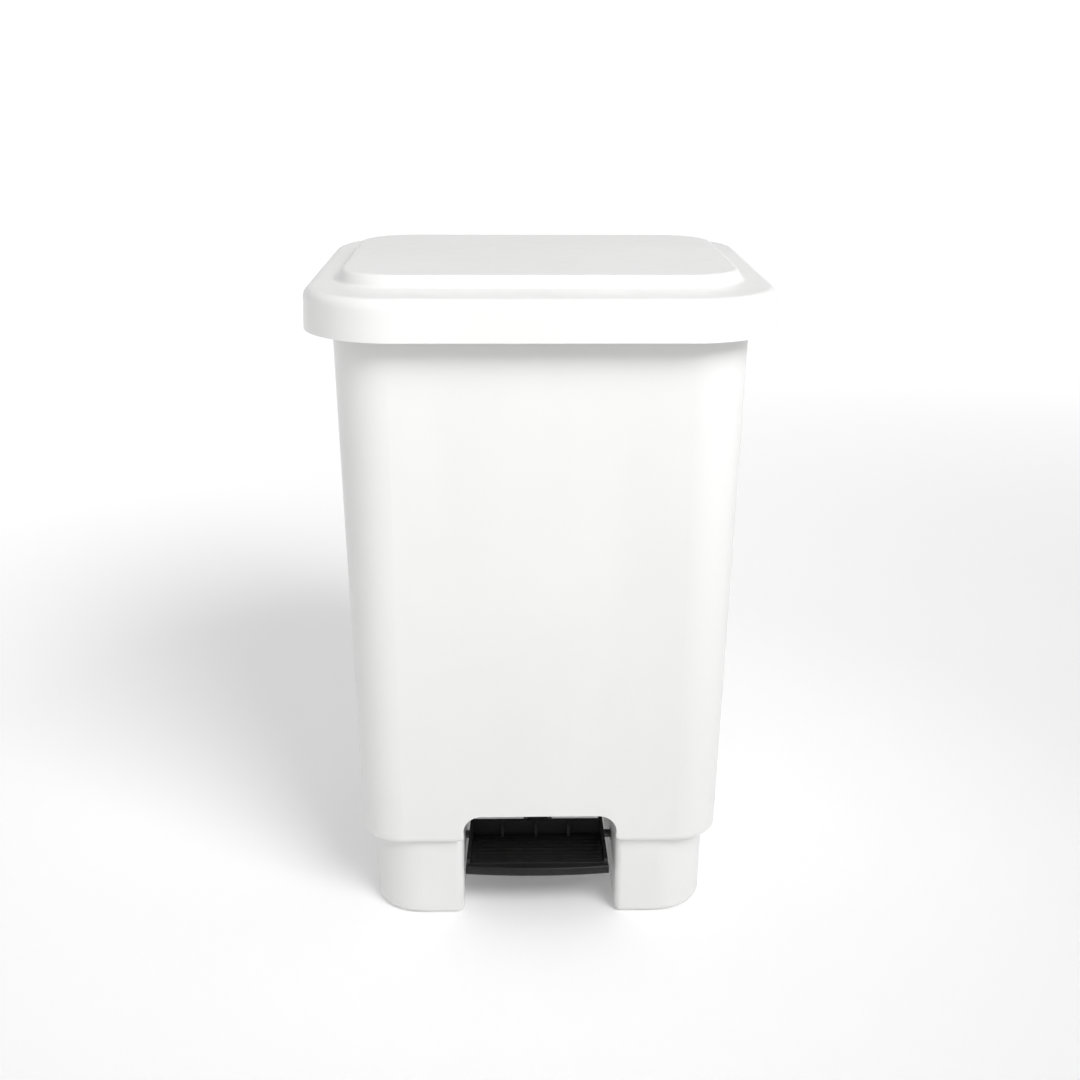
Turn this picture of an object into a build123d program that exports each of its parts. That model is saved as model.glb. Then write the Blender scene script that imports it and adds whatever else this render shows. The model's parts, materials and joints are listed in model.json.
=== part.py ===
"""Pedal bin, 50 litre class. Millimetres, +X right, +Y to the rear, +Z up, floor at Z = 0."""

import os
from math import atan2, cos, degrees, radians, sin, tan

from build123d import *

os.makedirs("parts", exist_ok=True)

# ---------------------------------------------------------------- driving dimensions
overall_height = 600.0
lid_half_width = 199.5
lid_half_depth = 198.5
lid_corner_radius = 80.0
lid_draft = 1.0
lid_wall = 3.0
lid_bottom_z = 555.5
lid_ledge_z = 590.0
lid_shoulder_radius = 8.5
panel_half_width = 175.0
panel_half_depth = 140.5
panel_shift_y = -2.0
panel_corner_radius = 54.0
panel_taper = 6.5
panel_edge_radius = 4.0
panel_root_radius = 3.0

body_wall = 3.0
rim_z = 582.0
rim_bead = 2.0
rim_bead_height = 6.0
rim_half_width = 175.3
rim_half_depth = 174.7
rim_corner_radius = 49.0
step_z = 82.0
step_half_width = 165.3
step_half_depth = 164.7
step_corner_radius = 39.0
step_edge_radius = 7.0

foot_bottom_z = 1.0
foot_floor_half_width = 155.1
foot_floor_half_depth = 154.5
foot_draft_deg = 0.8
max_upright_lean_deg = 20.0
foot_corner_radius = 45.0
foot_inner_corner_radius = 7.0
foot_inner_bottom_radius = 6.0

tunnel_half_width = 70.8
tunnel_top_z = 110.5
tunnel_corner_radius = 17.0
arch_lower_radius = 10.0
arch_face_y = -foot_floor_half_depth - 2.0
arch_pad_depth = 6.0

channel_half_width = 30.0
channel_wall_y = 138.0
channel_corner_radius = 5.0

# ---------------------------------------------------------------- mechanism
lid_axis_y = 187.0
lid_axis_z = 565.0
lid_open_deg = 75.0
rod_lift = 45.15
rod_radius = 3.0
rod_bend_radius = 8.0
rod_y = 155.0
rod_end_x = 21.0
rod_top_z = lid_axis_z - rod_lift / 2
slot_clearance = 0.5

axle_y = -86.0
axle_z = 45.5
axle_radius = 4.0
axle_half_length = 79.0
pedal_stroke_deg = 20.0
rod_foot_y = axle_y + 129.0
rod_foot_z = axle_z - rod_lift / 2

hinge_station_x = 95.0
body_ear_half = 8.0
lid_ear_gap = 0.5
lid_ear_thickness = 4.5
hinge_pin_radius = 3.0
hinge_ear_radius = 7.5
running_clearance = 0.05

tiny = 0.01
past = 1.0  # how far a cut runs beyond the face it goes through
far = 400.0


# ---------------------------------------------------------------- helpers
def rounded_plan(half_width, half_depth, radius, z):
    return Pos(0, 0, z) * RectangleRounded(2 * half_width, 2 * half_depth, radius)


def drafted_block(half_width, half_depth, radius, z_low, z_high, grow):
    """Block with a rounded-rectangle plan that widens by grow on every side from bottom to top."""
    height = z_high - z_low
    angle = degrees(atan2(grow, height))
    return extrude(rounded_plan(half_width, half_depth, radius, z_low), height, dir=(0, 0, 1), taper=-angle)


def box_between(low, high):
    size = [b - a for a, b in zip(low, high)]
    centre = [(a + b) / 2 for a, b in zip(low, high)]
    return Pos(*centre) * Box(*size)


def x_cylinder(radius, x_low, x_high, y, z):
    return Pos((x_low + x_high) / 2, y, z) * Rot(0, 90, 0) * Cylinder(radius, x_high - x_low)


def y_cylinder(radius, y_low, y_high, x, z):
    return Pos(x, (y_low + y_high) / 2, z) * Rot(90, 0, 0) * Cylinder(radius, y_high - y_low)


def z_cylinder(radius, z_low, z_high, x, y):
    return Pos(x, y, (z_low + z_high) / 2) * Cylinder(radius, z_high - z_low)


def side_plate(points, x_low, x_high):
    """Flat plate whose outline is given as (y, z) points."""
    outline = Polyline([(x_low, y, z) for y, z in points], close=True)
    return extrude(make_face(outline), x_high - x_low, dir=(1, 0, 0))


def hull_plate(discs, x_low, x_high):
    """Flat plate with the outline of a belt drawn tight around (y, z, radius) discs."""
    edges = []
    for y, z, radius in discs:
        edges.extend((Pos(y, z) * Circle(radius)).edges())
    face = Plane.YZ.offset(x_low) * make_hull(edges)
    return extrude(face, x_high - x_low, dir=(1, 0, 0))


def turned(y, z, centre_y, centre_z, angle_deg):
    """(y, z) turned about the X axis through the centre, front going down for positive angles."""
    a = radians(angle_deg)
    dy = y - centre_y
    dz = z - centre_z
    return centre_y + dy * cos(a) - dz * sin(a), centre_z + dy * sin(a) + dz * cos(a)


def slot_track(start_y, start_z, centre_y, centre_z, angle_deg, steps):
    """Where the rod's bent end passes in a lever that turns by the given angle while the rod rises."""
    track = []
    for i in range(steps + 1):
        share = i / steps
        y, z = turned(start_y, start_z + rod_lift * share, centre_y, centre_z, -angle_deg * share)
        track.append((y, z))
    return track


def both_sides(shape):
    return shape + mirror(shape, about=Plane.YZ)


# ---------------------------------------------------------------- body
def is_upright(edge):
    return abs((edge % 0.5).Z) > cos(radians(max_upright_lean_deg))


def foot_block(inset, z_low, z_high):
    """Right foot; the left one is its mirror image."""
    spread = (z_low - foot_bottom_z) * tan(radians(foot_draft_deg))
    grow = (z_high - z_low) * tan(radians(foot_draft_deg))
    block = drafted_block(
        foot_floor_half_width + spread - inset,
        foot_floor_half_depth + spread - inset,
        foot_corner_radius + spread - inset,
        z_low,
        z_high,
        grow,
    )
    inner_x = tunnel_half_width + inset
    block = block & box_between((inner_x, -far, z_low - past), (far, far, z_high + past))
    inner_edges = block.edges().group_by(Axis.X)[0].filter_by(is_upright)
    block = fillet(inner_edges, foot_inner_corner_radius - inset)
    bottom_edge = block.edges().group_by(Axis.Z)[0].filter_by(Axis.Y).sort_by(Axis.X)[:1]
    return fillet(bottom_edge, foot_inner_bottom_radius - inset)


def tub_block(inset, z_low, z_high):
    slope = (rim_half_width - step_half_width) / (rim_z - step_z)
    spread = (z_low - step_z) * slope
    return drafted_block(
        step_half_width + spread - inset,
        step_half_depth + spread - inset,
        step_corner_radius + spread - inset,
        z_low,
        z_high,
        (z_high - z_low) * slope,
    )


def tunnel_prism(grow):
    half = tunnel_half_width + grow
    top = tunnel_top_z + grow
    radius = tunnel_corner_radius + grow
    block = box_between((-half, -far, -far), (half, far, top))
    edges = block.edges().filter_by(Axis.Y).group_by(Axis.Z)[-1]
    return fillet(edges, radius)


def channel_prism(grow):
    half = channel_half_width + grow
    block = box_between((-half, channel_wall_y - grow, -far), (half, far, 2 * far))
    edges = block.edges().filter_by(Axis.Z).group_by(Axis.Y)[0]
    return fillet(edges, channel_corner_radius + grow)


def arch_lower_corner():
    """Space in front of the right foot that rounds the arch into the step edge."""
    reach = arch_lower_radius
    block = box_between(
        (tunnel_half_width - tiny, -far, step_z - past),
        (tunnel_half_width + reach, arch_face_y, step_z + reach),
    )
    disc = y_cylinder(reach, -far - past, arch_face_y + past, tunnel_half_width + reach, step_z + reach)
    return block - disc


def arch_corner_pad():
    """Solid corner inside the right front of the tub, behind the rounded arch corner."""
    reach = arch_lower_radius + body_wall
    return box_between(
        (tunnel_half_width, -far, step_z),
        (tunnel_half_width + reach, arch_face_y + arch_pad_depth, step_z + reach),
    )


def body_shell():
    outer = tub_block(0, step_z, rim_z)
    outer = fillet(outer.edges().group_by(Axis.Z)[0], step_edge_radius)
    bead = rounded_plan(
        rim_half_width + rim_bead,
        rim_half_depth + rim_bead,
        rim_corner_radius + rim_bead,
        rim_z - rim_bead_height,
    )
    outer = outer + extrude(bead, rim_bead_height)
    outer = outer - tunnel_prism(0)
    outer = outer - both_sides(arch_lower_corner())
    foot = foot_block(0, foot_bottom_z, step_z + past)
    outer = outer + both_sides(foot)

    hollow = tub_block(body_wall, step_z + body_wall, rim_z + past)
    hollow = hollow - tunnel_prism(body_wall)
    hollow = hollow - both_sides(arch_corner_pad())
    pocket = foot_block(body_wall, foot_bottom_z + body_wall, step_z + body_wall + past)
    hollow = hollow + both_sides(pocket)
    hollow = hollow - channel_prism(body_wall)

    shell = outer - channel_prism(0) - hollow
    shell = shell + both_sides(axle_boss())
    for x in hinge_screw_x:
        shell = shell + both_sides(hinge_screw_boss(x))
    for z in guide_heights:
        shell = shell + guide_bosses(z)

    for x in hinge_screw_x:
        shell = shell - both_sides(hinge_pilot_hole(x))
    shell = shell - both_sides(bush_seat())
    for z in guide_heights:
        shell = shell - guide_pilot_holes(z)
    for x in pad_x:
        for y in pad_y:
            shell = shell - z_cylinder(pad_radius, -past, pad_height, x, y)
    return shell


# ---------------------------------------------------------------- axle bushes and foot pads
bush_radius = 7.0
bush_depth = 9.0
boss_radius = 10.0
boss_wall = 2.0

pad_radius = 14.0
pad_height = 2.5
pad_chamfer = 0.6
pad_x = (-115.0, 115.0)
pad_y = (-112.0, 112.0)


def axle_boss():
    start = tunnel_half_width + body_wall / 2
    end = tunnel_half_width + bush_depth + boss_wall
    return x_cylinder(boss_radius, start, end, axle_y, axle_z)


def bush_seat():
    return x_cylinder(bush_radius, tunnel_half_width - past, tunnel_half_width + bush_depth, axle_y, axle_z)


def axle_bush(side):
    face = tunnel_half_width
    sleeve = x_cylinder(bush_radius, face, face + bush_depth, axle_y, axle_z)
    bore = x_cylinder(axle_radius + running_clearance, face - past, face + bush_depth + past, axle_y, axle_z)
    bush = sleeve - bore
    return bush if side > 0 else mirror(bush, about=Plane.YZ)


def foot_pad(x, y):
    pad = z_cylinder(pad_radius, 0.0, pad_height, x, y)
    return chamfer(pad.edges().group_by(Axis.Z)[0], pad_chamfer)


# ---------------------------------------------------------------- rod guides
guide_heights = (190.0, 450.0)
guide_half_width = 18.0
guide_half_height = 12.0
guide_flange = 4.0
guide_corner_radius = 4.0
guide_hub_half_width = 7.0
guide_hub_end_y = 162.0
guide_hub_radius = 5.0
guide_screw_x = 12.5
screw_radius = 2.0
screw_head_radius = 3.8
screw_head_height = 2.4
screw_head_round = 1.0
screw_length = 12.0
recess_depth = 1.2
recess_half_length = 2.2
recess_half_width = 0.45
screw_boss_radius = 4.5
guide_boss_end_y = 128.5


def guide_bosses(z):
    boss = y_cylinder(screw_boss_radius, guide_boss_end_y, channel_wall_y - body_wall / 2, guide_screw_x, z)
    return both_sides(boss)


def guide_pilot_holes(z):
    tip = channel_wall_y + guide_flange - screw_length
    return both_sides(y_cylinder(screw_radius, tip, channel_wall_y + past, guide_screw_x, z))


def rod_guide(z):
    flange = box_between(
        (-guide_half_width, channel_wall_y, z - guide_half_height),
        (guide_half_width, channel_wall_y + guide_flange, z + guide_half_height),
    )
    flange = fillet(flange.edges().filter_by(Axis.Y), guide_corner_radius)
    hub = box_between(
        (-guide_hub_half_width, channel_wall_y + tiny, z - guide_half_height),
        (guide_hub_half_width, guide_hub_end_y, z + guide_half_height),
    )
    hub = fillet(hub.edges().filter_by(Axis.Z).group_by(Axis.Y)[-1], guide_hub_radius)
    bore = z_cylinder(
        rod_radius + running_clearance, z - guide_half_height - past, z + guide_half_height + past, 0, rod_y
    )
    flange_front = channel_wall_y - past
    flange_back = channel_wall_y + guide_flange + past
    screw_hole = y_cylinder(screw_radius, flange_front, flange_back, guide_screw_x, z)
    return flange + hub - bore - both_sides(screw_hole)


def pan_screw(x, seat_y, z):
    """Pan head screw with a cross recess, driven forwards from the back."""
    shank = y_cylinder(screw_radius, seat_y - screw_length, seat_y + tiny, x, z)
    head = y_cylinder(screw_head_radius, seat_y, seat_y + screw_head_height, x, z)
    head = fillet(head.edges().group_by(Axis.Y)[-1], screw_head_round)
    face_y = seat_y + screw_head_height
    screw = shank + head
    for half_x, half_z in ((recess_half_length, recess_half_width), (recess_half_width, recess_half_length)):
        low = (x - half_x, face_y - recess_depth, z - half_z)
        high = (x + half_x, face_y + past, z + half_z)
        screw = screw - box_between(low, high)
    return screw


def guide_screws(z):
    seat = channel_wall_y + guide_flange
    return Compound([pan_screw(x, seat, z) for x in (-guide_screw_x, guide_screw_x)])


# ---------------------------------------------------------------- hinge blocks
block_half_width = 15.0
block_corner_radius = 3.0
block_seat_depth = 5.0
block_bottom_z = 534.0
block_top_z = rim_z - rim_bead_height - 0.5
block_flange_y = 177.5
hinge_screw_x = (hinge_station_x - 9.0, hinge_station_x + 9.0)
hinge_screw_z = 542.0
hinge_boss_end_y = 160.0


def hinge_screw_boss(x):
    return y_cylinder(screw_boss_radius, hinge_boss_end_y, rim_half_depth - body_wall / 2, x, hinge_screw_z)


def hinge_pilot_hole(x):
    return y_cylinder(screw_radius, block_flange_y - screw_length, block_flange_y, x, hinge_screw_z)


def hinge_block(side):
    """Block on the back of the tub that carries one hinge pin."""
    x = hinge_station_x
    seat_y = rim_half_depth - block_seat_depth
    flange = box_between(
        (x - block_half_width, seat_y, block_bottom_z),
        (x + block_half_width, block_flange_y, block_top_z),
    )
    flange = fillet(flange.edges().filter_by(Axis.Y), block_corner_radius)
    web = box_between(
        (x - body_ear_half, block_flange_y - past, lid_axis_z - hinge_ear_radius),
        (x + body_ear_half, lid_axis_y, lid_axis_z + hinge_ear_radius),
    )
    eye = x_cylinder(hinge_ear_radius, x - body_ear_half, x + body_ear_half, lid_axis_y, lid_axis_z)
    block = flange + web + eye - tub_block(0, step_z, rim_z + past)
    half_bore = body_ear_half + past
    block = block - x_cylinder(hinge_pin_radius, x - half_bore, x + half_bore, lid_axis_y, lid_axis_z)
    for screw_x in hinge_screw_x:
        block = block - y_cylinder(screw_radius, seat_y - past, block_flange_y + past, screw_x, hinge_screw_z)
    return block if side > 0 else mirror(block, about=Plane.YZ)


def hinge_screws(side):
    return Compound([pan_screw(side * x, block_flange_y, hinge_screw_z) for x in hinge_screw_x])


# ---------------------------------------------------------------- push rod
def push_rod():
    path = FilletPolyline(
        (rod_end_x, rod_foot_y, rod_foot_z),
        (0, rod_foot_y, rod_foot_z),
        (0, rod_y, rod_foot_z),
        (0, rod_y, rod_top_z),
        (rod_end_x, rod_y, rod_top_z),
        radius=rod_bend_radius,
    )
    section = Plane(origin=path @ 0, z_dir=path % 0) * Circle(rod_radius)
    return sweep(section, path=path)


clip_radius = 6.5
clip_collar_radius = 4.5
clip_washer = 1.2
clip_x_low = 15.5
clip_x_high = 18.5


def rod_clip(y, z):
    washer_end = clip_x_low + clip_washer
    washer = x_cylinder(clip_radius, clip_x_low, washer_end, y, z)
    collar = x_cylinder(clip_collar_radius, washer_end - tiny, clip_x_high, y, z)
    bore = x_cylinder(rod_radius, clip_x_low - past, clip_x_high + past, y, z)
    return washer + collar - bore


# ---------------------------------------------------------------- pedal
pedal_shift_x = -2.0
pedal_front_y = -149.5
pedal_bulge = 4.0
pedal_front_half = 67.3
pedal_rear_half = 63.5
pedal_wall = 3.0
tread_front_z = 48.0
tread_rear_z = 53.5
tread_thickness = 3.5
lip_bottom_z = 39.0
lip_top_z = 48.4
lip_depth = 6.0
lip_radius = 2.9
side_wall_rise = 3.0
side_wall_run = 3.0
pedal_back_y = axle_y - 9.0
pedal_back_top_z = 68.0
barrel_radius = 8.5
arm_x_low = 10.0
arm_x_high = 14.0
arm_eye_radius = 4.0
groove_count = 8
groove_pitch = 5.5
groove_width = 1.4
groove_depth = 0.9
groove_margin_x = 4.0
groove_start = 0.5
gusset_x = (-35.0, -2.5, 29.0)
gusset_half_width = 1.2
gusset_depth = 8.0
gusset_knee_z = 9.0
arm_bar_shares = (0.35, 0.7)
arm_bar_half_depth = 1.5
arm_bar_half_height = 5.0
axle_chamfer = 0.8


def pedal_plan(inset, z_low, z_high, front_y, back_y):
    """Block with the pedal's plan: a bowed front edge, narrower towards the back."""
    front_half = pedal_front_half - inset
    rear_half = pedal_rear_half - inset
    bow = ThreePointArc(
        (pedal_shift_x - front_half, front_y, z_low),
        (pedal_shift_x, front_y - pedal_bulge, z_low),
        (pedal_shift_x + front_half, front_y, z_low),
    )
    rest = Polyline(
        (pedal_shift_x + front_half, front_y, z_low),
        (pedal_shift_x + rear_half, back_y, z_low),
        (pedal_shift_x - rear_half, back_y, z_low),
        (pedal_shift_x - front_half, front_y, z_low),
    )
    face = make_face([*bow.edges(), *rest.edges()])
    return extrude(face, z_high - z_low, dir=(0, 0, 1))


def pedal_lip():
    """Rounded bar along the pedal's bowed front edge."""
    middle_z = (lip_bottom_z + lip_top_z) / 2
    line_y = pedal_front_y + lip_depth / 2
    path = ThreePointArc(
        (pedal_shift_x - pedal_front_half, line_y, middle_z),
        (pedal_shift_x, line_y - pedal_bulge, middle_z),
        (pedal_shift_x + pedal_front_half, line_y, middle_z),
    )
    start = Plane(origin=path @ 0, x_dir=(0, 0, 1), z_dir=path % 0)
    return sweep(start * RectangleRounded(lip_top_z - lip_bottom_z, lip_depth, lip_radius), path=path)


def pedal_tray():
    """Shallow tray with a low tread, side walls that rise to the back and an open underside."""
    front = pedal_front_y + lip_depth / 2
    bow_front = front - pedal_bulge - past
    wall_start = front + lip_depth / 2
    back_face = pedal_back_y - pedal_wall
    side_profile = [
        (bow_front, lip_bottom_z + lip_radius),
        (bow_front, tread_front_z),
        (wall_start, tread_front_z),
        (wall_start + side_wall_run, tread_front_z + side_wall_rise),
        (axle_y, pedal_back_top_z + side_wall_rise),
        (axle_y, lip_bottom_z),
        (wall_start + side_wall_run, lip_bottom_z),
    ]
    outer = pedal_plan(0, 0, far, front, axle_y) & side_plate(side_profile, -far, far)
    above = side_plate(
        [
            (bow_front - pedal_bulge, tread_front_z),
            (front, tread_front_z),
            (back_face, tread_rear_z),
            (back_face, far),
            (bow_front - pedal_bulge, far),
        ],
        -far,
        far,
    )
    below = side_plate(
        [
            (front + pedal_wall, -far),
            (front + pedal_wall, tread_front_z - tread_thickness),
            (back_face, tread_rear_z - tread_thickness),
            (back_face, -far),
        ],
        -far,
        far,
    )
    behind = box_between((-far, pedal_back_y, -far), (far, far, far))
    inner = pedal_plan(pedal_wall, 0, far, bow_front - pedal_bulge, axle_y)
    return outer + pedal_lip() - (inner & above) - (inner & below) - (inner & behind)


def pedal_grooves():
    slope = (tread_rear_z - tread_front_z) / (pedal_back_y - pedal_front_y)
    half = pedal_rear_half - groove_margin_x
    grooves = []
    for i in range(groove_count):
        y = pedal_front_y + lip_depth + groove_start + i * groove_pitch
        top = tread_front_z + slope * (y - pedal_front_y)
        low = (pedal_shift_x - half, y, top - groove_depth)
        high = (pedal_shift_x + half, y + groove_width, top + past)
        grooves.append(box_between(low, high))
    return grooves


def pedal_gusset(x):
    """Small rib that stiffens the corner between the tread and the back wall."""
    root_z = tread_rear_z - past
    back = pedal_back_y - past
    outline = [
        (back - gusset_depth, root_z),
        (back - 0.75 * gusset_depth, tread_rear_z + gusset_knee_z),
        (back, pedal_back_top_z),
        (back, root_z),
    ]
    return side_plate(outline, x - gusset_half_width, x + gusset_half_width)


def pedal_arms():
    """The slotted arm that lifts the rod, the plain arm beside it and the two bars between them."""
    track = slot_track(rod_foot_y, rod_foot_z, axle_y, axle_z, pedal_stroke_deg, 6)
    slot_discs = [(y, z, rod_radius + slot_clearance) for y, z in track]
    slot = hull_plate(slot_discs, arm_x_low - past, arm_x_high + past)
    first_y, first_z = track[0]
    middle_y, middle_z = track[len(track) // 2]
    discs = [
        (axle_y, axle_z, barrel_radius),
        (middle_y, middle_z, rod_radius + arm_eye_radius),
        (first_y, first_z, rod_radius + arm_eye_radius),
    ]
    arms = hull_plate(discs, arm_x_low, arm_x_high) - slot
    arms = arms + hull_plate(discs[:2], -arm_x_high, -arm_x_low)
    bar_half_width = (arm_x_low + arm_x_high) / 2
    for share in arm_bar_shares:
        y = axle_y + share * (rod_foot_y - axle_y)
        z = axle_z + share * (rod_foot_z - axle_z)
        low = (-bar_half_width, y - arm_bar_half_depth, z - arm_bar_half_height)
        high = (bar_half_width, y + arm_bar_half_depth, z + arm_bar_half_height)
        arms = arms + box_between(low, high)
    return arms


def pedal():
    shape = pedal_tray()
    for groove in pedal_grooves():
        shape = shape - groove
    for x in gusset_x:
        shape = shape + pedal_gusset(x)
    barrel_low = pedal_shift_x - pedal_rear_half
    barrel_high = pedal_shift_x + pedal_rear_half
    shape = shape + x_cylinder(barrel_radius, barrel_low, barrel_high, axle_y, axle_z)
    shape = shape + pedal_arms()
    return shape - x_cylinder(axle_radius, -far, far, axle_y, axle_z)


def pedal_axle():
    axle = x_cylinder(axle_radius, -axle_half_length, axle_half_length, axle_y, axle_z)
    return chamfer(axle.edges().filter_by(GeomType.CIRCLE), axle_chamfer)


# ---------------------------------------------------------------- lid
lid_under_z = lid_ledge_z - lid_wall
rib_depth = 6.0
rib_half_width = 1.0
long_rib_x = (-84.0, 0.0, 84.0)
cross_rib_y = (-70.0, 0.0, 70.0)
rib_margin = 8.0

ear_radius = 7.0
ear_front_reach = 8.0

lever_pad_x = (0.0, 24.0)
lever_pad_front_y = 163.0
lever_pad_back_y = 188.0
lever_pad_thickness = 3.0
lever_wall = 3.5
lever_knee_y = lid_axis_y - 6.0
lever_knee_z = lid_axis_z + 4.0
lever_knee_radius = 10.0

bumper_radius = 4.5
bumper_round = 1.2
bumper_stem_radius = 2.0
bumper_stem = 1.8
bumper_gap = 0.4
bumper_spots = ((-110.0, -173.0), (110.0, -173.0), (-60.0, 173.0), (60.0, 173.0))


def lid_skin(inset, z_low, z_ledge, z_top):
    """Solid with the outline of the lid, all faces moved inwards by inset."""
    skirt = drafted_block(
        lid_half_width - inset,
        lid_half_depth - inset,
        lid_corner_radius - inset,
        z_low,
        z_ledge,
        -lid_draft,
    )
    skirt = fillet(skirt.edges().group_by(Axis.Z)[-1], lid_shoulder_radius - inset)
    panel = drafted_block(
        panel_half_width - inset,
        panel_half_depth - inset,
        panel_corner_radius - inset,
        z_ledge - past,
        z_top,
        -panel_taper,
    )
    panel = fillet(panel.edges().group_by(Axis.Z)[-1], panel_edge_radius - 0.9 * inset)
    return skirt + Pos(0, panel_shift_y, 0) * panel


def is_panel_root(edge):
    """True for the edges where the raised panel meets the ledge."""
    centre = edge.center()
    on_ledge = abs(centre.Z - lid_ledge_z) < past / 4
    beside_panel = abs(centre.X) < panel_half_width + 2 * past and abs(centre.Y) < panel_half_depth + 6 * past
    return on_ledge and beside_panel


def lid_ribs():
    """Shallow grid of stiffening ribs under the raised panel."""
    low = overall_height - lid_wall - rib_depth
    high = overall_height - lid_wall + past
    reach_x = panel_half_width - panel_taper - rib_margin
    reach_y = panel_half_depth - panel_taper - rib_margin
    ribs = []
    for x in long_rib_x:
        ribs.append(box_between((x - rib_half_width, -reach_y, low), (x + rib_half_width, reach_y, high)))
    for y in cross_rib_y:
        ribs.append(box_between((-reach_x, y - rib_half_width, low), (reach_x, y + rib_half_width, high)))
    return ribs


def lid_ears():
    """Two ears on each side of either hinge block."""
    start = body_ear_half + lid_ear_gap
    end = start + lid_ear_thickness
    root = lid_ledge_z - lid_wall / 2
    outline = [
        (lid_axis_y - ear_front_reach, root),
        (lid_axis_y + ear_radius, root),
        (lid_axis_y + ear_radius, lid_axis_z),
        (lid_axis_y - ear_radius, lid_axis_z),
    ]
    bore_radius = hinge_pin_radius + running_clearance
    ears = []
    for x in (-hinge_station_x, hinge_station_x):
        for low, high in ((x - end, x - start), (x + start, x + end)):
            ear = side_plate(outline, low, high)
            ear = ear + x_cylinder(ear_radius, low, high, lid_axis_y, lid_axis_z)
            ears.append(ear - x_cylinder(bore_radius, low - past, high + past, lid_axis_y, lid_axis_z))
    return ears


def lid_shell():
    outer = lid_skin(0, lid_bottom_z, lid_ledge_z, overall_height)
    outer = fillet(outer.edges().filter_by(is_panel_root), panel_root_radius)
    shell = outer - lid_skin(lid_wall, lid_bottom_z - past, lid_under_z, overall_height - lid_wall)
    for rib in lid_ribs():
        shell = shell + rib
    for ear in lid_ears():
        shell = shell + ear
    for x, y in bumper_spots:
        shell = shell - z_cylinder(bumper_stem_radius, lid_under_z - past, lid_under_z + bumper_stem, x, y)
    return shell


def lid_lever():
    """Bracket welded under the rear ledge, with the slot that the rod's upper end pushes in."""
    track = slot_track(rod_y, rod_top_z, lid_axis_y, lid_axis_z, -lid_open_deg, 10)
    wall = rod_radius + slot_clearance + lever_wall
    first_y, first_z = track[0]
    middle_y, middle_z = track[len(track) // 2]
    discs = [
        (first_y, first_z, wall),
        (middle_y, middle_z, wall),
        (lever_knee_y, lever_knee_z, lever_knee_radius),
    ]
    plate = hull_plate(discs, arm_x_low, arm_x_high)
    web = box_between(
        (arm_x_low, lever_knee_y - lever_knee_radius, lever_knee_z),
        (arm_x_high, lever_pad_back_y, lid_under_z),
    )
    pad = box_between(
        (lever_pad_x[0], lever_pad_front_y, lid_under_z - lever_pad_thickness),
        (lever_pad_x[1], lever_pad_back_y, lid_under_z),
    )
    slot_discs = [(y, z, rod_radius + slot_clearance) for y, z in track]
    slot = hull_plate(slot_discs, arm_x_low - past, arm_x_high + past)
    return plate + web + pad - slot


def lid_bumper(x, y):
    disc = z_cylinder(bumper_radius, rim_z + bumper_gap, lid_under_z, x, y)
    disc = fillet(disc.edges().group_by(Axis.Z)[0], bumper_round)
    return disc + z_cylinder(bumper_stem_radius, lid_under_z - tiny, lid_under_z + bumper_stem, x, y)


# ---------------------------------------------------------------- hinge pins
pin_side_play = 0.5
pin_end = body_ear_half + lid_ear_gap + lid_ear_thickness + pin_side_play
pin_head_radius = 4.8
pin_head = 2.0
pin_tail = 3.0
pin_clip_radius = 5.6
pin_clip_thickness = 1.0
pin_clip_mouth = 2.0


def hinge_pin(side):
    x = hinge_station_x
    shank = x_cylinder(hinge_pin_radius, x - pin_end - pin_tail, x + pin_end + tiny, lid_axis_y, lid_axis_z)
    head = x_cylinder(pin_head_radius, x + pin_end, x + pin_end + pin_head, lid_axis_y, lid_axis_z)
    head = fillet(head.edges().group_by(Axis.X)[-1], pin_head / 2)
    pin = shank + head
    return pin if side > 0 else mirror(pin, about=Plane.YZ)


def pin_clip(side):
    """Spring washer with an open mouth, pushed on the pin from below."""
    x_high = hinge_station_x - pin_end
    x_low = x_high - pin_clip_thickness
    disc = x_cylinder(pin_clip_radius, x_low, x_high, lid_axis_y, lid_axis_z)
    bore = x_cylinder(hinge_pin_radius, x_low - past, x_high + past, lid_axis_y, lid_axis_z)
    mouth = box_between(
        (x_low - past, lid_axis_y - pin_clip_mouth, lid_axis_z - 2 * pin_clip_radius),
        (x_high + past, lid_axis_y + pin_clip_mouth, lid_axis_z),
    )
    clip = disc - bore - mouth
    return clip if side > 0 else mirror(clip, about=Plane.YZ)


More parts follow.
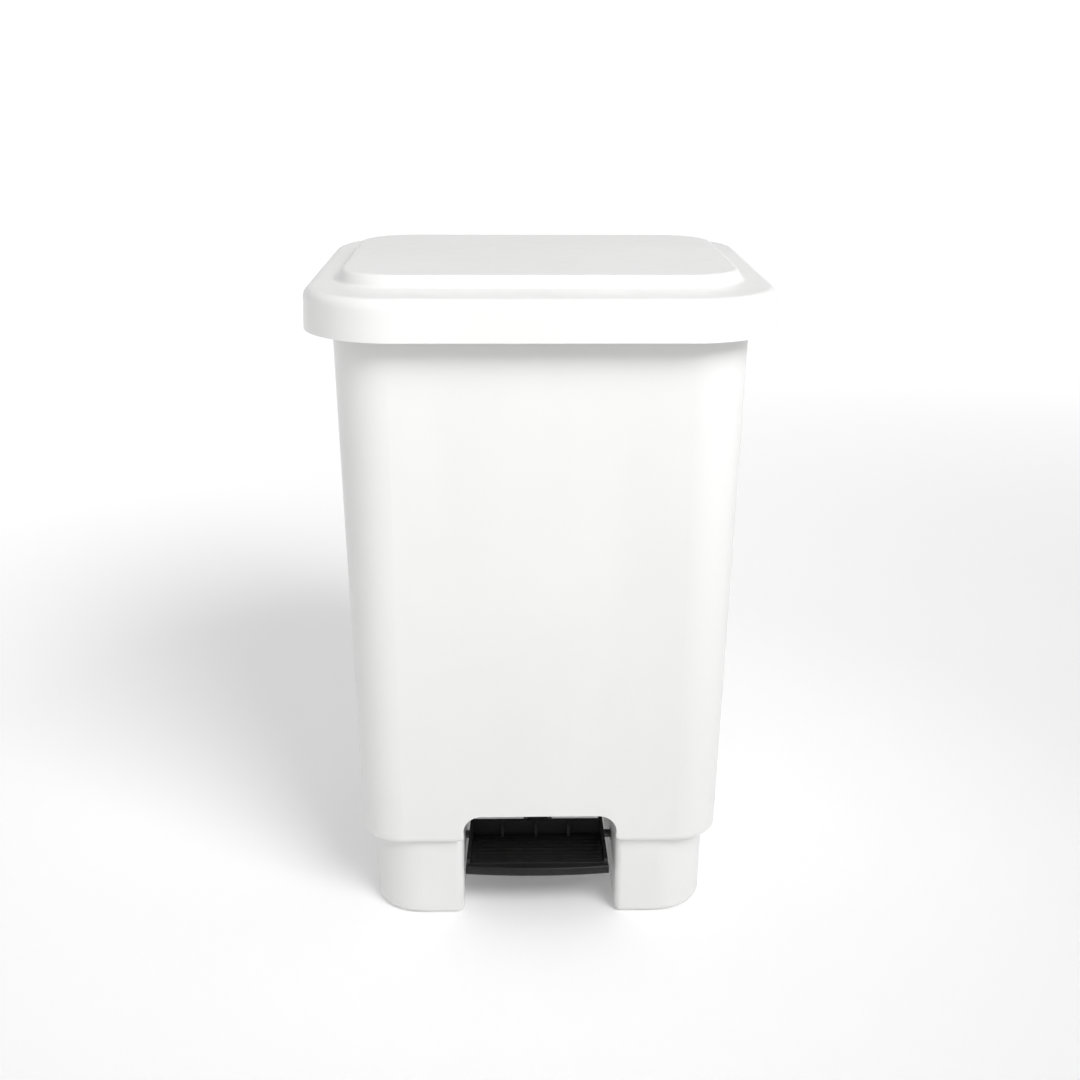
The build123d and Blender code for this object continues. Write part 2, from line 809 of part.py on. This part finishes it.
# ---------------------------------------------------------------- write the nodes
nodes = {
    "body_shell": body_shell(),
    "lid_shell": lid_shell(),
    "lid_lever": lid_lever(),
    "pedal": pedal(),
    "pedal_axle": pedal_axle(),
    "axle_bush_left": axle_bush(-1),
    "axle_bush_right": axle_bush(1),
    "push_rod": push_rod(),
    "rod_clip_lower": rod_clip(rod_foot_y, rod_foot_z),
    "rod_clip_upper": rod_clip(rod_y, rod_top_z),
    "rod_guide_lower": rod_guide(guide_heights[0]),
    "rod_guide_upper": rod_guide(guide_heights[1]),
    "guide_screws_lower": guide_screws(guide_heights[0]),
    "guide_screws_upper": guide_screws(guide_heights[1]),
    "hinge_block_left": hinge_block(-1),
    "hinge_block_right": hinge_block(1),
    "hinge_screws_left": hinge_screws(-1),
    "hinge_screws_right": hinge_screws(1),
    "hinge_pin_left": hinge_pin(-1),
    "hinge_pin_right": hinge_pin(1),
    "hinge_clip_left": pin_clip(-1),
    "hinge_clip_right": pin_clip(1),
    "foot_pad_front_left": foot_pad(pad_x[0], pad_y[0]),
    "foot_pad_front_right": foot_pad(pad_x[1], pad_y[0]),
    "foot_pad_rear_left": foot_pad(pad_x[0], pad_y[1]),
    "foot_pad_rear_right": foot_pad(pad_x[1], pad_y[1]),
    "lid_bumper_front_left": lid_bumper(*bumper_spots[0]),
    "lid_bumper_front_right": lid_bumper(*bumper_spots[1]),
    "lid_bumper_rear_left": lid_bumper(*bumper_spots[2]),
    "lid_bumper_rear_right": lid_bumper(*bumper_spots[3]),
}

for name, shape in nodes.items():
    export_step(shape, f"parts/{name}.step")
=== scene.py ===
import json
import math

import bpy
from mathutils import Matrix, Vector

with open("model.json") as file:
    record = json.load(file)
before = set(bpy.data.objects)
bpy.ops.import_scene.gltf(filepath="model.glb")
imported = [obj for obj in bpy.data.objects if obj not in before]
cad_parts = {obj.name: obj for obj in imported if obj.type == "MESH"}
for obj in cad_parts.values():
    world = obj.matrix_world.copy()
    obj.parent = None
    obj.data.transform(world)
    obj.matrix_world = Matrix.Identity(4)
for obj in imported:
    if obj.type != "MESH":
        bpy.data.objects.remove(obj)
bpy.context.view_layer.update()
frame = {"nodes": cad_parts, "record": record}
WHITE = (1.0, 1.0, 1.0, 1.0)


# ---------------------------------------------------------------- materials
def principled(name, colour, roughness, metallic=0.0, coat=0.0):
    """A material with a Principled shader, and the handles that the functions below use."""
    mat = bpy.data.materials.new(name)
    mat.use_nodes = True
    nodes = mat.node_tree.nodes
    shader = nodes["Principled BSDF"]
    shader.inputs["Base Color"].default_value = (*colour, 1.0)
    shader.inputs["Roughness"].default_value = roughness
    shader.inputs["Metallic"].default_value = metallic
    shader.inputs["Coat Weight"].default_value = coat
    return mat, nodes, mat.node_tree.links, shader


def noise(nodes, links, scale, detail=4.0, stretch=(1.0, 1.0, 1.0), distortion=0.0):
    """Noise in real metres: scale is features per metre."""
    coords = nodes.new("ShaderNodeTexCoord")
    mapping = nodes.new("ShaderNodeMapping")
    mapping.inputs["Scale"].default_value = stretch
    texture = nodes.new("ShaderNodeTexNoise")
    texture.inputs["Scale"].default_value = scale
    texture.inputs["Detail"].default_value = detail
    texture.inputs["Distortion"].default_value = distortion
    links.new(coords.outputs["Object"], mapping.inputs["Vector"])
    links.new(mapping.outputs["Vector"], texture.inputs["Vector"])
    return texture.outputs["Fac"]


def spread(nodes, links, value, low, high, from_low=0.35, from_high=0.65):
    """Maps the middle of a noise to the range low to high."""
    ramp = nodes.new("ShaderNodeMapRange")
    ramp.inputs["From Min"].default_value = from_low
    ramp.inputs["From Max"].default_value = from_high
    ramp.inputs["To Min"].default_value = low
    ramp.inputs["To Max"].default_value = high
    links.new(value, ramp.inputs["Value"])
    return ramp.outputs["Result"]


def tint(nodes, links, value, dark, light):
    """Mixes two colours by a value from 0 to 1."""
    mix = nodes.new("ShaderNodeMix")
    mix.data_type = "RGBA"
    mix.inputs["A"].default_value = (*dark, 1.0)
    mix.inputs["B"].default_value = (*light, 1.0)
    links.new(value, mix.inputs["Factor"])
    return mix.outputs["Result"]


def bump(nodes, links, shader, layers):
    """Stacks (height, distance in metres, strength) layers on the shader's normal."""
    normal = None
    for height, distance, strength in layers:
        node = nodes.new("ShaderNodeBump")
        node.inputs["Distance"].default_value = distance
        node.inputs["Strength"].default_value = strength
        links.new(height, node.inputs["Height"])
        if normal is not None:
            links.new(normal, node.inputs["Normal"])
        normal = node.outputs["Normal"]
    links.new(normal, shader.inputs["Normal"])


def moulded(name, dark, light, rough_low, rough_high, grain, grain_depth, wave_depth, shine=0.5):
    """Injection-moulded plastic: fine spark texture, slow sink waves, faint flow tint."""
    mat, nodes, links, shader = principled(name, light, rough_low)
    slow = noise(nodes, links, 9.0, 3.0, (1.0, 1.0, 0.5), 0.4)
    fine = noise(nodes, links, grain, 2.0)
    mottle = noise(nodes, links, 55.0, 5.0)
    flow = spread(nodes, links, slow, 0.0, 1.0)
    links.new(tint(nodes, links, flow, dark, light), shader.inputs["Base Color"])
    links.new(spread(nodes, links, mottle, rough_low, rough_high), shader.inputs["Roughness"])
    shader.inputs["Specular IOR Level"].default_value = shine
    bump(nodes, links, shader, [(slow, wave_depth, 0.6), (fine, grain_depth, 0.5)])
    return mat


def steel(name, dark, light, rough_low, rough_high, stretch):
    """Drawn or plated metal with fine lines along the stretch axis."""
    mat, nodes, links, shader = principled(name, light, rough_low, metallic=1.0)
    lines = noise(nodes, links, 900.0, 3.0, stretch)
    stain = noise(nodes, links, 60.0, 5.0)
    stained = spread(nodes, links, stain, 0.0, 1.0)
    links.new(tint(nodes, links, stained, dark, light), shader.inputs["Base Color"])
    links.new(spread(nodes, links, lines, rough_low, rough_high), shader.inputs["Roughness"])
    bump(nodes, links, shader, [(lines, 0.00004, 0.4)])
    return mat


def lacquered(name, colour, roughness):
    """Thin glossy black coating with faint dust."""
    mat, nodes, links, shader = principled(name, colour, roughness, coat=0.5)
    dust = noise(nodes, links, 420.0, 3.0)
    dusted = spread(nodes, links, dust, 0.0, 1.0)
    dusty_colour = tuple(3 * c for c in colour)
    links.new(tint(nodes, links, dusted, colour, dusty_colour), shader.inputs["Base Color"])
    links.new(spread(nodes, links, dust, roughness, 1.6 * roughness), shader.inputs["Roughness"])
    bump(nodes, links, shader, [(dust, 0.00002, 0.4)])
    return mat


white_body = moulded(
    "white_body",
    dark=(0.735, 0.735, 0.73),
    light=(0.755, 0.755, 0.75),
    rough_low=0.30,
    rough_high=0.38,
    grain=2600.0,
    grain_depth=0.00004,
    wave_depth=0.0004,
)
white_lid = moulded(
    "white_lid",
    dark=(0.74, 0.74, 0.735),
    light=(0.76, 0.76, 0.755),
    rough_low=0.28,
    rough_high=0.36,
    grain=2600.0,
    grain_depth=0.00004,
    wave_depth=0.0003,
)
black_moulding = moulded(
    "black_moulding",
    dark=(0.004, 0.004, 0.004),
    light=(0.007, 0.007, 0.0072),
    rough_low=0.42,
    rough_high=0.55,
    grain=1800.0,
    grain_depth=0.00006,
    wave_depth=0.0003,
    shine=0.35,
)
rubber = moulded(
    "grey_rubber",
    dark=(0.16, 0.16, 0.16),
    light=(0.22, 0.22, 0.22),
    rough_low=0.65,
    rough_high=0.8,
    grain=1500.0,
    grain_depth=0.00008,
    wave_depth=0.0002,
)
bright_steel = steel(
    "bright_steel",
    dark=(0.46, 0.46, 0.46),
    light=(0.60, 0.60, 0.60),
    rough_low=0.22,
    rough_high=0.38,
    stretch=(0.1, 1.0, 1.0),
)
black_steel = lacquered("black_steel", colour=(0.006, 0.006, 0.006), roughness=0.16)
zinc_wire = steel(
    "zinc_wire",
    dark=(0.45, 0.46, 0.47),
    light=(0.62, 0.63, 0.64),
    rough_low=0.30,
    rough_high=0.48,
    stretch=(1.0, 1.0, 0.08),
)

LOOKS = {
    "white_plastic": white_body,
    "white_lid_plastic": white_lid,
    "black_plastic": black_moulding,
    "bright_steel": bright_steel,
    "black_steel": black_steel,
    "zinc_wire": zinc_wire,
    "grey_rubber": rubber,
}

for part in frame["record"]["subparts"]:
    piece = frame["nodes"][part["node"]]
    piece.data.materials.clear()
    piece.data.materials.append(LOOKS[part["material_slot"]])


# ---------------------------------------------------------------- floor, light and camera
def backdrop():
    """Wide pale floor with painted light: its emission glows faintly near the bin, lightening the bin's
    shadow there, and more towards the horizon, as a lit sweep does.
    """
    mesh = bpy.data.meshes.new("floor")
    half = 60.0
    corners = [(-half, -half, 0), (half, -half, 0), (half, half, 0), (-half, half, 0)]
    mesh.from_pydata(corners, [], [(0, 1, 2, 3)])
    floor = bpy.data.objects.new("floor", mesh)
    bpy.context.scene.collection.objects.link(floor)
    mat, nodes, links, shader = principled("pale_floor", (0.9, 0.9, 0.9), 0.8)
    cloud = spread(nodes, links, noise(nodes, links, 1.5, 2.0), 0.0, 1.0)
    pale = tint(nodes, links, cloud, (0.90, 0.90, 0.90), (0.91, 0.91, 0.91))
    links.new(pale, shader.inputs["Base Color"])
    shader.inputs["Emission Color"].default_value = WHITE
    coords = nodes.new("ShaderNodeTexCoord")
    distance = nodes.new("ShaderNodeVectorMath")
    distance.operation = "LENGTH"
    links.new(coords.outputs["Object"], distance.inputs[0])
    # Painted light: the floor's emission grows from glow_near to glow_far between glow_starts and
    # glow_ends metres from the middle.
    glow_near = 0.16
    glow_far = 0.60
    glow_starts = 0.7
    glow_ends = 2.8
    metres = distance.outputs["Value"]
    glow = spread(nodes, links, metres, glow_near, glow_far, glow_starts, glow_ends)
    links.new(glow, shader.inputs["Emission Strength"])
    floor.data.materials.append(mat)


def softbox(name, place, aim, size, power, beam_deg=180.0):
    """Square area light; a narrower beam falls off towards its edge."""
    light = bpy.data.lights.new(name, "AREA")
    light.shape = "SQUARE"
    light.size = size
    light.energy = power
    light.spread = math.radians(beam_deg)
    lamp = bpy.data.objects.new(name, light)
    bpy.context.scene.collection.objects.link(lamp)
    lamp.location = place
    lamp.rotation_mode = "QUATERNION"
    lamp.rotation_quaternion = (Vector(aim) - Vector(place)).to_track_quat("-Z", "Y")


def sky(horizon, zenith):
    """Plain studio surround, brightest at the horizon and dimmer overhead."""
    world = bpy.data.worlds.new("studio")
    bpy.context.scene.world = world
    world.use_nodes = True
    nodes = world.node_tree.nodes
    links = world.node_tree.links
    coords = nodes.new("ShaderNodeTexCoord")
    split = nodes.new("ShaderNodeSeparateXYZ")
    links.new(coords.outputs["Generated"], split.inputs["Vector"])
    fade_starts = 0.04
    fade_ends = 0.14
    strength = spread(nodes, links, split.outputs["Z"], horizon, zenith, fade_starts, fade_ends)
    nodes["Background"].inputs["Color"].default_value = WHITE
    links.new(strength, nodes["Background"].inputs["Strength"])


def studio():
    """Large key light from the front right and a weaker one above the back."""
    sky(horizon=1.08, zenith=0.50)
    softbox("key_right", (1.0, -1.6, 2.15), (0, -0.1, 0.95), size=1.3, power=9.9, beam_deg=64.0)
    softbox("top_back", (0.0, 0.55, 2.4), (0, 0.05, 0.6), size=1.2, power=3.0)


def photo_camera():
    """Looks down on the lid, from slightly left of its middle."""
    sensor_width = 36.0
    focal_length = 47.295
    place = (-0.02585, -1.31096, 0.77784)
    turn_deg = -1.24
    pitch_deg = 19.18
    roll_deg = 0.21
    data = bpy.data.cameras.new("photo")
    data.sensor_width = sensor_width
    data.lens = focal_length
    camera = bpy.data.objects.new("photo", data)
    bpy.context.scene.collection.objects.link(camera)
    turn = Matrix.Rotation(math.radians(turn_deg), 4, "Z")
    pitch = Matrix.Rotation(math.radians(90.0 - pitch_deg), 4, "X")
    roll = Matrix.Rotation(math.radians(roll_deg), 4, "Z")
    camera.matrix_world = Matrix.Translation(place) @ turn @ pitch @ roll
    bpy.context.scene.camera = camera


backdrop()
studio()
photo_camera()
bpy.context.scene.view_settings.view_transform = "Standard"
bpy.context.scene.view_settings.look = "None"
